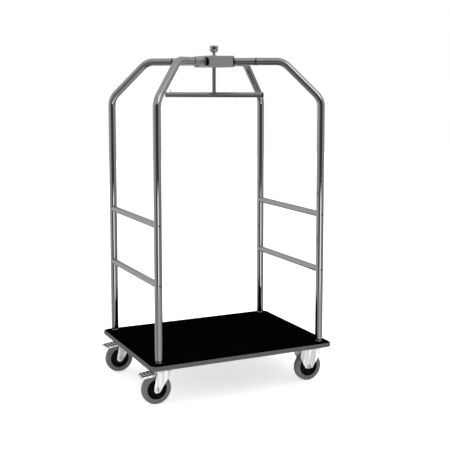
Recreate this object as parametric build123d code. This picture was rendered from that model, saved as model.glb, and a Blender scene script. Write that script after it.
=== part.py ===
"""Hotel luggage cart: a carpeted deck on four casters, four bent posts that meet in a hub over the
middle, two pairs of side rails and a turning T that carries the garment bar.

Millimetres. The origin lies on the floor, under the middle of the deck. +X runs along the cart
towards the fixed casters, +Y across it and +Z up.
"""

from build123d import *
import os
from math import atan2, cos, degrees, hypot, pi, sin

# ---- deck ----
deck_length = 1074.0
deck_width = 822.0
deck_corner_r = 45.0
bumper_thickness = 8.0
bumper_height = 22.0
bumper_edge_r = 6.0
board_thickness = 18.0
carpet_thickness = 4.0
frame_thickness = 5.0
frame_bar_width = 50.0
corner_plate_x = 170.0
corner_plate_y = 156.0
corner_plate_inset = 22.0

# ---- posts and side rails ----
post_inset_x = 62.0
post_inset_y = 56.5
tube_d = 41.0
tube_wall = 1.5
upright_height = 1344.0
slope_run = 208.7
slope_rise = 204.5
bend_r = 95.0
rail_d = 34.0
rail_wall = 1.5
rail_heights = {"lower": 409.0, "upper": 716.0}
cope_gap = 0.1

# ---- post feet ----
foot_dome_height = 12.0
foot_dome_inset = 6.0
collar_lip = 2.0
collar_height = 10.0
collar_gap = 0.5
plug_height = 45.0
plug_gap = 0.05
foot_bolt_d = 8.0
foot_bolt_head_d = 16.0
foot_bolt_head_h = 4.0
foot_bolt_reach = 25.0

# ---- side rail fasteners ----
insert_length = 30.0
insert_setback = 3.0
rail_bolt_d = 6.0
rail_bolt_head_d = 9.0
rail_bolt_head_h = 2.4
rail_bolt_reach = 20.0

# ---- hub and arms ----
hub_x = 151.0
hub_y = 205.0
hub_height = 62.0
hub_wall = 3.0
hub_base_thickness = 4.0
hub_edge_r = 2.0
stub_inside = 28.0
joint_distance = 237.0
joint_ring_width = 6.0
joint_ring_lip = 0.6
spigot_length = 84.0
spigot_wall = 2.0
grub_d = 6.0
grub_length = 5.0
grub_offset = 22.0
grub_sunk = 1.0
seal_thickness = 3.0
seal_depth = 6.0
corner_cap_x = 8.0
corner_cap_y = 7.0
corner_cap_height = 46.0

# ---- hanging T and its knob ----
hanger_angle = -36.7
bar_length = 552.0
bar_d = 28.5
bar_wall = 1.5
bar_drop = 181.5
rod_d = 21.0
rod_neck_d = 12.0
rod_shoulder = 12.0
cap_thickness = 5.0
cap_plug_length = 15.0
stop_pin_d = 3.0
stop_pin_height = 17.0
stop_pin_inset = 28.0
stop_pin_sunk = 6.0
bush_flange_d = 33.0
bush_flange_h = 7.0
bush_crown_d = 22.0
bush_spigot_d = 20.0
bush_spigot_length = 12.0
lower_bush_d = 28.0
lower_bush_flange_d = 36.0
lower_bush_flange_h = 4.0
knob_d = 46.0
knob_height = 39.0
knob_flat_d = 34.0
knob_neck_d = 15.0
knob_neck_height = 11.0
knob_bore_depth = 26.0
thrust_gap = 0.2
running_gap = 0.05

# ---- wheels ----
wheel_d = 160.0
tyre_width = 36.0
tyre_edge_r = 9.0
rim_d = 107.0
rim_ridge_h = 3.0
rim_ridge_w = 12.0
rim_width = 33.0
web_thickness = 14.0
rim_band = 6.0
wheel_boss_d = 40.0
wheel_boss_width = 42.0
bush_d = 24.0
sleeve_d = 18.0
axle_d = 10.0
axle_head_d = 18.0
axle_head_h = 6.4
axle_nut_h = 8.0
axle_proud = 2.0
side_play = 1.0

# ---- casters ----
wheel_clearance = 14.0
caster_plate_x = 135.0
caster_plate_y = 105.0
caster_plate_t = 3.5
caster_plate_r = 12.0
caster_hole_x = 105.0
caster_hole_y = 68.0
caster_bolt_d = 8.0
caster_bolt_head_d = 18.0
caster_bolt_head_h = 4.0
caster_nut_af = 13.0
caster_nut_h = 6.5
bolt_gap = 0.2
swivel_inset_x = 105.0
fixed_inset_x = 103.0
caster_inset_y = 111.0
trail = 40.0
leg_thickness = 3.0
leg_width = 84.0
leg_tip_r = 19.0
leg_shoulder = 9.5
leg_rib_h = 1.4
leg_rib_round = 1.0
leg_rib_w = 9.0
leg_rib_foot_w = 6.0
leg_rib_drop = 14.0
leg_rib_spread = 30.0
crown_drop = 22.5
crown_thickness = 3.5
kingpin_d = 14.0
kingpin_head_d = 24.0
kingpin_head_h = 6.0
race_inner_d = 52.8
race_inner_wall = 8.0
race_inner_h = 12.5
race_outer_d = 76.0
race_outer_wall = 4.0
race_outer_h = 15.0
ball_d = 7.4
ball_count = 16
ball_drop = 8.5
bracket_flare = 94.0
bracket_width = 125.0
bracket_tip_width = 42.0
bracket_tip_drop = 8.0
bracket_shoulder_drop = 53.0
bracket_waist_rise = 36.0
bracket_waist_width = 94.0
bracket_knee_rise = 14.0

# ---- brake pedal ----
pedal_pivot_x = -26.0
pedal_pivot_drop = 34.0
pedal_pin_d = 6.0
pedal_pin_proud = 1.0
pedal_knuckle_d = 11.0
pedal_neck_width = 38.0
pedal_neck_end = -56.0
pedal_width = 72.0
pedal_toe_x = -134.0
pedal_toe_fall = 13.0
pedal_sheet = 2.5
pedal_flange = 11.0
pad_start = -58.0
pad_end = -122.0
pad_thickness = 4.0
pad_margin = 2.0
pad_groove = 2.0
pad_groove_depth = 1.0
pad_groove_count = 5
shoe_height = 2.0
shoe_length = 6.0

# ---- deck screws ----
deck_screw_d = 5.0
deck_screw_head_d = 9.0
deck_screw_head_h = 3.0
deck_screw_reach = 14.0
long_bar_screws = 3
cross_bar_screws = 2
screw_margin = 60.0

# ---- places that follow from the sizes above ----
crown_top = wheel_d + wheel_clearance + crown_thickness
caster_height = crown_top + crown_drop
frame_z = caster_height
board_z = frame_z + frame_thickness
board_top = board_z + board_thickness
deck_top = board_top + carpet_thickness
board_length = deck_length - 2 * bumper_thickness
board_width = deck_width - 2 * bumper_thickness
post_x = deck_length / 2 - post_inset_x
post_y = deck_width / 2 - post_inset_y
post_foot_z = deck_top + collar_height
post_seat_z = post_foot_z + foot_dome_height
diagonal = hypot(post_x, post_y)
bend_z = deck_top + upright_height
arm_z = bend_z + slope_rise
tube_r = tube_d / 2
bore_r = tube_r - tube_wall
dome_r = tube_r - foot_dome_inset
collar_r = dome_r + collar_lip
stub_start = (hub_x / 2 - hub_wall) * diagonal / post_x - stub_inside
hub_bottom = arm_z - hub_height / 2
hub_top = arm_z + hub_height / 2
bar_z = arm_z - bar_drop
caster_y = deck_width / 2 - caster_inset_y
wheel_r = wheel_d / 2
leg_inner = wheel_boss_width / 2 + side_play
leg_outer = leg_inner + leg_thickness
arc_mid = cos(pi / 4)

corners = {
    "front_left": (-1, -1),
    "back_left": (-1, 1),
    "front_right": (1, -1),
    "back_right": (1, 1),
}
swivel_centres = {
    name: (sx * (deck_length / 2 - swivel_inset_x), sy * caster_y)
    for name, (sx, sy) in corners.items() if sx < 0
}
fixed_centres = {
    name: (sx * (deck_length / 2 - fixed_inset_x), sy * caster_y)
    for name, (sx, sy) in corners.items() if sx > 0
}
caster_centres = list(swivel_centres.values()) + list(fixed_centres.values())


# ---- small helpers ----
def save(name, *solids):
    """Write one node as parts/NAME.step; several solids make a group."""
    shape = solids[0] if len(solids) == 1 else Compound(children=list(solids))
    export_step(shape, f"parts/{name}.step")


def rod_z(radius, low, high, x=0.0, y=0.0):
    """Upright round bar between two heights."""
    return Pos(x, y, (low + high) / 2) * Cylinder(radius, high - low)


def rod_y(radius, low, high, x=0.0, z=0.0):
    """Round bar across the cart between two y values."""
    return Pos(x, (low + high) / 2, z) * Rot(90, 0, 0) * Cylinder(radius, high - low)


def rod_x(radius, low, high, y=0.0, z=0.0):
    """Round bar along the cart between two x values."""
    return Pos((low + high) / 2, y, z) * Rot(0, 90, 0) * Cylinder(radius, high - low)


def hexagon(across_flats, height):
    """Upright hexagonal prism, such as a nut, centred on the origin."""
    outline = RegularPolygon(across_flats / 2, 6, major_radius=False)
    return extrude(outline, height / 2, both=True)


def slab(length, width, corner_r, low, high):
    """Flat plate with rounded corners between two heights."""
    return Pos(0, 0, low) * extrude(RectangleRounded(length, width, corner_r), high - low)


def block(x0, x1, y0, y1, z0, z1):
    """Rectangular block between the given limits."""
    return Pos((x0 + x1) / 2, (y0 + y1) / 2, (z0 + z1) / 2) * Box(x1 - x0, y1 - y0, z1 - z0)


def side_plate(outline, y0, y1):
    """Plate between two y values, from its outline as (x, z) points."""
    face = make_face(Polyline(*[(x, y0, z) for x, z in outline], close=True))
    return extrude(face, amount=y1 - y0, dir=(0, 1, 0))


def turned(profile):
    """Solid of revolution about the Y axis, from its profile as (radius, y) points."""
    return revolve(make_face(Polyline(*profile, close=True)), Axis.Y)


def on_arm(shape, sx, sy):
    """Move a shape from the +X axis onto the arm of one corner, at the arm's height."""
    return Pos(0, 0, arm_z) * Rot(0, 0, degrees(atan2(sy * post_y, sx * post_x))) * shape


def joint_place(side):
    """Distance from the hub's middle to the joint's ring face: -1 hub side, 1 post side."""
    return joint_distance + side * joint_ring_width / 2


# ---- deck ----
def caster_bolt_places():
    """(x, y) of each bolt that holds a caster plate."""
    return [
        (cx + i * caster_hole_x / 2, cy + j * caster_hole_y / 2)
        for cx, cy in caster_centres for i in (-1, 1) for j in (-1, 1)
    ]


def corner_plate_limits(sx, sy):
    """Limits in x and y of one corner plate under the board."""
    outer_x, outer_y = board_length / 2 - corner_plate_inset, board_width / 2 - corner_plate_inset
    xs = sorted((sx * outer_x, sx * (outer_x - corner_plate_x)))
    ys = sorted((sy * outer_y, sy * (outer_y - corner_plate_y)))
    return xs, ys


def frame_bar_limits():
    """Limits in x and y of the four bars between the corner plates: two long, then two cross."""
    (x0, x1), (y0, y1) = corner_plate_limits(1, 1)
    mid_x, mid_y, half = (x0 + x1) / 2, (y0 + y1) / 2, frame_bar_width / 2
    long_bars = [((-x0, x0), (s * mid_y - half, s * mid_y + half)) for s in (-1, 1)]
    cross_bars = [((s * mid_x - half, s * mid_x + half), (-y0, y0)) for s in (-1, 1)]
    return long_bars, cross_bars


def deck_screw_places():
    """(x, y) of each screw that holds the board to the frame bars."""
    long_bars, cross_bars = frame_bar_limits()
    places = []
    for (x0, x1), (y0, y1) in long_bars:
        step = (x1 - x0 - 2 * screw_margin) / (long_bar_screws - 1)
        places += [(x0 + screw_margin + i * step, (y0 + y1) / 2) for i in range(long_bar_screws)]
    for (x0, x1), (y0, y1) in cross_bars:
        step = (y1 - y0 - 2 * screw_margin) / (cross_bar_screws - 1)
        places += [((x0 + x1) / 2, y0 + screw_margin + i * step) for i in range(cross_bar_screws)]
    return places


def make_deck():
    """Carpet, board, bumper, corner plates, frame bars and their screws."""
    inner_r = deck_corner_r - bumper_thickness
    posts = [(sx * post_x, sy * post_y) for sx, sy in corners.values()]
    bolt_hole_r = caster_bolt_d / 2 + bolt_gap
    foot_hole_r = foot_bolt_d / 2 + bolt_gap

    board = slab(board_length, board_width, inner_r, board_z, board_top)
    for x, y in caster_bolt_places():
        board -= rod_z(bolt_hole_r, board_z, board_top, x, y)
        board -= rod_z(caster_bolt_head_d / 2 + bolt_gap, board_top - caster_bolt_head_h,
                       board_top, x, y)
    for x, y in posts:
        board -= rod_z(foot_hole_r, board_z, board_top, x, y)
    for x, y in deck_screw_places():
        board -= rod_z(deck_screw_d / 2, board_z, board_z + deck_screw_reach, x, y)
    save("deck_board", board)

    carpet = slab(board_length, board_width, inner_r, board_top, deck_top)
    for x, y in posts:
        carpet -= rod_z(collar_r + collar_gap, board_top, deck_top, x, y)
    save("deck_carpet", carpet)

    bumper_low = (board_z + deck_top) / 2 - bumper_height / 2
    bumper = slab(deck_length, deck_width, deck_corner_r, bumper_low, bumper_low + bumper_height)
    rims = bumper.edges().group_by(Axis.Z)
    bumper = fillet(rims[0] + rims[-1], bumper_edge_r)
    bumper -= slab(board_length, board_width, inner_r, bumper_low, bumper_low + bumper_height)
    save("edge_bumper", bumper)

    plates = []
    for sx, sy in corners.values():
        (x0, x1), (y0, y1) = corner_plate_limits(sx, sy)
        plate = block(x0, x1, y0, y1, frame_z, board_z)
        for x, y in caster_bolt_places():
            if x0 < x < x1 and y0 < y < y1:
                plate -= rod_z(bolt_hole_r, frame_z, board_z, x, y)
        px, py = sx * post_x, sy * post_y
        plate -= rod_z(foot_hole_r, frame_z, board_z, px, py)
        plate -= Pos(px, py, frame_z + foot_bolt_head_h / 2) * Cone(
            foot_bolt_head_d / 2 + bolt_gap, foot_hole_r, foot_bolt_head_h)
        plates.append(plate)
    save("corner_plates", *plates)

    long_bars, cross_bars = frame_bar_limits()
    bars = []
    for (x0, x1), (y0, y1) in long_bars + cross_bars:
        bar = block(x0, x1, y0, y1, frame_z, board_z)
        for x, y in deck_screw_places():
            bar -= rod_z(deck_screw_d / 2 + bolt_gap, frame_z, board_z, x, y)
        bars.append(bar)
    save("frame_bars", *bars)

    save("deck_screws", *[
        rod_z(deck_screw_head_d / 2, frame_z - deck_screw_head_h, frame_z, x, y)
        + rod_z(deck_screw_d / 2, frame_z, board_z + deck_screw_reach, x, y)
        for x, y in deck_screw_places()
    ])


# ---- posts, feet and side rails ----
def post_path():
    """Centre line of a post in the XZ plane, from its foot to the joint with the hub's stub."""
    return FilletPolyline(
        (diagonal, 0, post_seat_z),
        (diagonal, 0, bend_z),
        (diagonal - slope_run, 0, arm_z),
        (joint_place(1), 0, arm_z),
        radius=bend_r,
    )


def make_posts():
    """Four bent tubes, each drilled for the rail bolts and the grub screw of its joint."""
    ring = Plane((diagonal, 0, post_seat_z)) * (Circle(tube_r) - Circle(bore_r))
    bent_tube = sweep(ring, path=post_path())
    bent_tube -= rod_z(grub_d / 2, arm_z - tube_r - grub_length, arm_z - grub_length,
                       joint_distance + grub_offset)
    for name, (sx, sy) in corners.items():
        post = Pos(0, 0, -arm_z) * bent_tube
        post = on_arm(post, sx, sy)
        for height in rail_heights.values():
            post -= rod_y(rail_bolt_d / 2 + bolt_gap, sy * post_y - tube_d, sy * post_y + tube_d,
                          sx * post_x, deck_top + height)
        save(f"post_{name}", post)


def make_feet():
    """Seat collars on the board, domed threaded plugs in the posts and the bolts from below."""
    collars, plugs, bolts = [], [], []
    bolt_top = post_foot_z + foot_bolt_reach
    plug_r, plug_top = bore_r - plug_gap, post_seat_z + plug_height
    outline = [
        Line((0, 0, post_foot_z), (dome_r, 0, post_foot_z)),
        ThreePointArc((dome_r, 0, post_foot_z),
                      (dome_r + arc_mid * foot_dome_inset, 0,
                       post_seat_z - arc_mid * foot_dome_height),
                      (tube_r, 0, post_seat_z)),
        Line((tube_r, 0, post_seat_z), (plug_r, 0, post_seat_z)),
        Line((plug_r, 0, post_seat_z), (plug_r, 0, plug_top)),
        Line((plug_r, 0, plug_top), (0, 0, plug_top)),
        Line((0, 0, plug_top), (0, 0, post_foot_z)),
    ]
    domed_plug = revolve(make_face(outline), Axis.Z)
    domed_plug -= rod_z(foot_bolt_d / 2, post_foot_z, bolt_top)
    for sx, sy in corners.values():
        x, y = sx * post_x, sy * post_y
        collar = rod_z(collar_r, board_top, post_foot_z, x, y)
        collars.append(collar - rod_z(foot_bolt_d / 2 + bolt_gap, board_top, post_foot_z, x, y))
        plugs.append(Pos(x, y, 0) * domed_plug)
        head = Pos(x, y, frame_z + foot_bolt_head_h / 2) * Cone(
            foot_bolt_head_d / 2, foot_bolt_d / 2, foot_bolt_head_h)
        bolts.append(head + rod_z(foot_bolt_d / 2, frame_z, bolt_top, x, y))
    save("foot_collars", *collars)
    save("foot_plugs", *plugs)
    save("foot_bolts", *bolts)


def make_side_rails():
    """Two rails at each end of the cart, coped onto the posts and bolted through them."""
    inserts, bolts = [], []
    rail_r = rail_d / 2
    post_face = post_y - tube_r
    for side, sx in (("left", -1), ("right", 1)):
        x = sx * post_x
        for level, height in rail_heights.items():
            z = deck_top + height
            rail = rod_y(rail_r, -post_y, post_y, x, z)
            rail -= rod_y(rail_r - rail_wall, -post_y, post_y, x, z)
            for sy in (-1, 1):
                rail -= rod_z(tube_r + cope_gap, z - rail_d, z + rail_d, x, sy * post_y)
                insert_end = post_face - insert_setback
                ys = sorted((sy * insert_end, sy * (insert_end - insert_length)))
                insert = rod_y(rail_r - rail_wall - plug_gap, *ys, x, z)
                bolt_end = insert_end - rail_bolt_reach
                shank = sorted((sy * (post_y + tube_r), sy * bolt_end))
                inserts.append(insert - rod_y(rail_bolt_d / 2, *shank, x, z))
                head_top = post_y + tube_r + rail_bolt_head_h
                head = rod_y(rail_bolt_head_d / 2, *sorted((sy * post_y, sy * head_top)), x, z)
                head -= rod_z(tube_r, z - rail_d, z + rail_d, x, sy * post_y)
                bolts.append(head + rod_y(rail_bolt_d / 2, *shank, x, z))
            save(f"side_rail_{side}_{level}", rail)
    save("rail_inserts", *inserts)
    save("rail_bolts", *bolts)


# ---- hub ----
def make_hub():
    """Hub box and base, its four stubs with seals, and the joints to the posts. A plastic cap
    closes the open end of the bent sheet at two opposite corners of the box."""
    inner_x, inner_y = hub_x - 2 * hub_wall, hub_y - 2 * hub_wall
    shell = block(-hub_x / 2, hub_x / 2, -hub_y / 2, hub_y / 2, hub_bottom, hub_top)
    shell = fillet(shell.edges().filter_by(Axis.Z) + shell.edges().group_by(Axis.Z)[-1], hub_edge_r)
    caps = []
    for s in (-1, 1):
        cap = shell & block(*sorted((s * hub_x / 2, s * (hub_x / 2 - corner_cap_x))),
                            *sorted((-s * hub_y / 2, -s * (hub_y / 2 - corner_cap_y))),
                            arm_z - corner_cap_height / 2, arm_z + corner_cap_height / 2)
        caps.append(cap)
    shell -= block(-inner_x / 2, inner_x / 2, -inner_y / 2, inner_y / 2,
                   hub_bottom, hub_top - hub_wall)
    shell -= rod_z(bush_spigot_d / 2, hub_bottom, hub_top)
    for cap in caps:
        shell -= cap
    base = block(-inner_x / 2, inner_x / 2, -inner_y / 2, inner_y / 2,
                 hub_bottom, hub_bottom + hub_base_thickness)
    base -= rod_z(lower_bush_d / 2, hub_bottom, hub_top)

    stub_end, post_end = joint_place(-1), joint_place(1)
    stubs, seals, rings, spigots, grubs = [], [], [], [], []
    stub = rod_x(tube_r, stub_start, stub_end) - rod_x(bore_r, stub_start, stub_end)
    ring = rod_x(tube_r + joint_ring_lip, stub_end, post_end)
    spigot_r = bore_r - plug_gap
    spigot = rod_x(spigot_r, joint_distance - spigot_length / 2, joint_distance + spigot_length / 2)
    spigot -= rod_x(spigot_r - spigot_wall, joint_distance - spigot_length,
                    joint_distance + spigot_length)
    ring -= rod_x(spigot_r, stub_end, post_end)
    for side in (-1, 1):
        s = joint_distance + side * grub_offset
        hole = rod_z(grub_d / 2, -tube_r - grub_length, -grub_length, s)
        stub -= hole
        spigot -= hole
        grub_low = grub_sunk - tube_r
        grubs += [on_arm(rod_z(grub_d / 2, grub_low, grub_low + grub_length, s), sx, sy)
                  for sx, sy in corners.values()]
    solid_stub = rod_x(tube_r, 0, stub_end)
    collar = rod_x(tube_r + seal_thickness, 0, stub_end) - solid_stub
    for sx, sy in corners.values():
        stubs.append(on_arm(stub, sx, sy))
        xs = sorted((sx * hub_x / 2, sx * (hub_x / 2 + seal_depth)))
        slice_box = block(*xs, -hub_y, hub_y, hub_bottom, hub_top)
        seals.append(on_arm(collar, sx, sy) & slice_box)
        rings.append(on_arm(ring, sx, sy))
        spigots.append(on_arm(spigot, sx, sy))
        shell -= on_arm(solid_stub, sx, sy)
    save("hub_shell", shell)
    save("hub_base", base)
    save("hub_stubs", *stubs)
    save("hub_seals", *seals, *caps)
    save("joint_rings", *rings)
    save("joint_spigots", *spigots)
    save("joint_grub_screws", *grubs)


# ---- hanging T ----
def make_hanger():
    """Bushes in the hub, and the rod, garment bar and knob that turn in them."""
    bore = rod_neck_d / 2 + running_gap
    flange_top = hub_top + bush_flange_h
    cone = Pos(0, 0, hub_top + bush_flange_h / 2) * Cone(
        bush_flange_d / 2, bush_crown_d / 2, bush_flange_h)
    upper = cone + rod_z(bush_spigot_d / 2, hub_top - bush_spigot_length, hub_top)
    save("upper_bush", upper - rod_z(bore, hub_bottom, flange_top))

    seat = hub_bottom + hub_base_thickness
    lower = rod_z(lower_bush_d / 2, hub_bottom, seat)
    lower += rod_z(lower_bush_flange_d / 2, seat, seat + lower_bush_flange_h)
    save("lower_bush", lower - rod_z(rod_d / 2 + running_gap, hub_bottom, arm_z))

    turn = Rot(0, 0, hanger_angle)
    half, bar_r = bar_length / 2, bar_d / 2
    tube_half = half - cap_thickness
    knob_bottom = flange_top + thrust_gap
    rod = rod_z(rod_d / 2, bar_z, seat + rod_shoulder)
    rod += rod_z(rod_neck_d / 2, seat, knob_bottom + knob_bore_depth)
    rod -= turn * rod_x(bar_r, -half, half, 0, bar_z)
    save("hanger_rod", rod)

    bar = rod_x(bar_r, -tube_half, tube_half, 0, bar_z)
    bar -= rod_x(bar_r - bar_wall, -tube_half, tube_half, 0, bar_z)
    caps, pins = [], []
    for s in (-1, 1):
        cap = rod_x(bar_r, *sorted((s * tube_half, s * half)), 0, bar_z)
        cap += rod_x(bar_r - bar_wall - plug_gap,
                     *sorted((s * (tube_half - cap_plug_length), s * half)), 0, bar_z)
        caps.append(turn * cap)
        x = s * (half - stop_pin_inset)
        pin = rod_z(stop_pin_d / 2, bar_z + bar_r - stop_pin_sunk, bar_z + bar_r + stop_pin_height, x)
        bar -= pin
        pins.append(turn * pin)
    save("hanger_bar", turn * bar)
    save("bar_end_caps", *caps)
    save("hanger_stop_pins", *pins)

    neck_r, ball_r, flat_r = knob_neck_d / 2, knob_d / 2, knob_flat_d / 2
    ball_bottom = knob_bottom + knob_neck_height
    top = ball_bottom + knob_height
    waist, shoulder = ball_bottom + knob_height / 2, top - (ball_r - flat_r)
    bulge = neck_r + arc_mid * (ball_r - neck_r)
    round_off = arc_mid * (ball_r - flat_r)
    outline = [
        Line((0, 0, knob_bottom), (neck_r, 0, knob_bottom)),
        Line((neck_r, 0, knob_bottom), (neck_r, 0, ball_bottom)),
        ThreePointArc((neck_r, 0, ball_bottom),
                      (bulge, 0, waist - arc_mid * (waist - ball_bottom)),
                      (ball_r, 0, waist)),
        Line((ball_r, 0, waist), (ball_r, 0, shoulder)),
        ThreePointArc((ball_r, 0, shoulder),
                      (flat_r + round_off, 0, shoulder + round_off),
                      (flat_r, 0, top)),
        Line((flat_r, 0, top), (0, 0, top)),
        Line((0, 0, top), (0, 0, knob_bottom)),
    ]
    knob = revolve(make_face(outline), Axis.Z)
    save("finial_knob", knob - rod_z(rod_neck_d / 2, knob_bottom, knob_bottom + knob_bore_depth))


# ---- wheels and casters ----
def make_wheel(name, x, y):
    """Tyre, rim and bearing bush of one wheel, with its axle along Y."""
    rim_r, boss_r, ridge_r = rim_d / 2, wheel_boss_d / 2, rim_d / 2 + rim_ridge_h
    ridge, half_rim, half_web = rim_ridge_w / 2, rim_width / 2, web_thickness / 2
    band_r, half_boss = rim_r - rim_band, wheel_boss_width / 2
    side = [(bush_d / 2, half_boss), (boss_r, half_boss), (boss_r, half_web), (band_r, half_web),
            (band_r, half_rim), (rim_r, half_rim), (rim_r, ridge), (ridge_r, ridge)]
    rim = turned(side + [(r, -v) for r, v in reversed(side)])
    half_tyre = tyre_width / 2
    tread = [(rim_r, ridge), (rim_r, half_tyre), (wheel_r, half_tyre)]
    tyre = turned(tread + [(r, -v) for r, v in reversed(tread)]
                  + [(ridge_r, -ridge), (ridge_r, ridge)])
    shoulders = [e for e in tyre.edges().filter_by(GeomType.CIRCLE) if e.radius > wheel_r - 1e-3]
    tyre = fillet(shoulders, tyre_edge_r)
    bush = rod_y(bush_d / 2, -half_boss, half_boss)
    bush -= rod_y(sleeve_d / 2 + running_gap, -half_boss, half_boss)
    place = Pos(x, y, wheel_r)
    save(f"tyre_{name}", place * tyre)
    save(f"rim_{name}", place * rim)
    save(f"wheel_bush_{name}", place * bush)


def axle(x, y):
    """Axle bolt, spacer sleeve and nut as three solids, through both legs of a fork."""
    bolt_r = axle_d / 2
    nut_out = leg_outer + axle_nut_h
    head = Pos(0, -leg_outer - axle_head_h / 2, 0) * Rot(90, 0, 0) * hexagon(axle_head_d, axle_head_h)
    nut = Pos(0, leg_outer + axle_nut_h / 2, 0) * Rot(90, 0, 0) * hexagon(axle_head_d, axle_nut_h)
    nut -= rod_y(bolt_r, 0, nut_out)
    bolt = head + rod_y(bolt_r, -leg_outer, nut_out + axle_proud)
    sleeve = rod_y(sleeve_d / 2, -leg_inner, leg_inner) - rod_y(bolt_r, -leg_inner, leg_inner)
    place = Pos(x, y, wheel_r)
    return [place * bolt, place * sleeve, place * nut]


def caster_plate():
    """Top plate of a caster with its four bolt holes, centred on the Z axis."""
    plate = slab(caster_plate_x, caster_plate_y, caster_plate_r,
                 caster_height - caster_plate_t, caster_height)
    for i in (-1, 1):
        for j in (-1, 1):
            plate -= rod_z(caster_bolt_d / 2 + bolt_gap, 0, caster_height,
                           i * caster_hole_x / 2, j * caster_hole_y / 2)
    return plate


def leg_outline():
    """Outline of a swivel fork leg: straight sides from the crown to the round tip at the axle."""
    half, top = leg_width / 2, crown_top - wheel_r
    corner = [Line((trail - half, top), (trail + half, top)),
              Line((trail + half, top), (trail + half, top - leg_shoulder)),
              Line((trail - half, top), (trail - half, top - leg_shoulder))]
    tip = Circle(leg_tip_r).edges()
    return make_hull(corner + list(tip))


def make_fork(name, x, y):
    """Swivel fork: crown with the inner race, two ribbed legs and the pedal pin's holes."""
    outline = Plane.XZ * leg_outline()
    leg = Pos(0, leg_thickness / 2, 0) * extrude(outline, leg_thickness / 2, both=True)
    rib_top = crown_top - wheel_r - leg_rib_drop
    rib_path = make_hull([*(Pos(trail, rib_top) * Circle(leg_rib_w / 2)).edges(),
                          *(Pos(leg_rib_w / 2, leg_tip_r) * Circle(leg_rib_foot_w / 2)).edges()])
    rib = extrude(Plane.XZ * rib_path, leg_rib_h)
    rib = fillet(rib.edges().group_by(Axis.Y)[0], leg_rib_round)
    ribbed = leg + rib
    for s in (-1, 1):
        ribbed += Pos(s * leg_rib_spread / 2, 0, 0) * rib & leg + Pos(0, -leg_rib_h, 0) * leg
    near = Pos(0, -leg_outer, 0) * ribbed
    far = mirror(near, Plane.XZ)
    legs = Pos(-trail, 0, wheel_r) * (near + far)
    half = leg_width / 2
    fork = legs + block(-half, half, -leg_outer, leg_outer, crown_top - crown_thickness, crown_top)
    race_r = race_inner_d / 2
    fork += rod_z(race_r, crown_top, crown_top + race_inner_h)
    fork -= rod_z(race_r - race_inner_wall, crown_top, crown_top + race_inner_h)
    fork -= rod_z(kingpin_d / 2 + running_gap, 0, crown_top)
    fork -= rod_y(axle_d / 2, -leg_outer - leg_rib_h, leg_outer + leg_rib_h, -trail, wheel_r)
    fork -= rod_y(pedal_pin_d / 2 + running_gap, -leg_outer - leg_rib_h, leg_outer + leg_rib_h,
                  pedal_pivot_x, caster_height - pedal_pivot_drop)
    save(f"fork_{name}", Pos(x, y, 0) * fork)


def make_pedal(name, x, y):
    """Brake lever of pressed sheet with its pin, and the ribbed pad on it."""
    z_pin = caster_height - pedal_pivot_drop
    top = z_pin + pedal_knuckle_d / 2
    slope = pedal_toe_fall / (pedal_pivot_x - pedal_toe_x)

    def web_top(px):
        return top - slope * (pedal_pivot_x - px)

    def sheet(x0, x1, above, below):
        return [(x0, web_top(x0) + above), (x1, web_top(x1) + above),
                (x1, web_top(x1) - below), (x0, web_top(x0) - below)]

    half, neck = pedal_width / 2, pedal_neck_width / 2
    lever = side_plate(sheet(pedal_pivot_x, pedal_neck_end, 0, pedal_sheet), -neck, neck)
    lever += side_plate(sheet(pedal_neck_end, pedal_toe_x, 0, pedal_sheet), -half, half)
    for y0 in (-half, half - pedal_sheet):
        flange = [(pedal_neck_end, web_top(pedal_neck_end)), (pedal_toe_x, web_top(pedal_toe_x)),
                  (pedal_toe_x, web_top(pedal_toe_x) - pedal_sheet),
                  (pad_end, web_top(pad_end) - pedal_flange),
                  (pedal_neck_end, web_top(pedal_neck_end) - pedal_flange)]
        lever += side_plate(flange, y0, y0 + pedal_sheet)
    shoe_x = pedal_pivot_x - pedal_neck_width / 2
    lever += side_plate(sheet(shoe_x, shoe_x - shoe_length, 0, pedal_sheet + shoe_height),
                        -tyre_width / 2, tyre_width / 2)
    lever += rod_y(pedal_knuckle_d / 2, -neck, neck, pedal_pivot_x, z_pin)
    pin_half = leg_outer + leg_rib_h + pedal_pin_proud
    lever -= rod_y(pedal_pin_d / 2, -neck, neck, pedal_pivot_x, z_pin)
    pin = rod_y(pedal_pin_d / 2, -pin_half, pin_half, pedal_pivot_x, z_pin)

    pad_half = half - pad_margin
    pad = side_plate(sheet(pad_start, pad_end, pad_thickness, 0), -pad_half, pad_half)
    pitch = (pad_start - pad_end) / (pad_groove_count + 1)
    for i in range(pad_groove_count):
        px = pad_start - (i + 1) * pitch
        groove = sheet(px + pad_groove / 2, px - pad_groove / 2, 2 * pad_thickness,
                       pad_groove_depth - pad_thickness)
        pad -= side_plate(groove, -pad_half, pad_half)
    place = Pos(x, y, 0)
    save(f"brake_lever_{name}", place * lever, place * pin)
    save(f"pedal_pad_{name}", place * pad)


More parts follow.
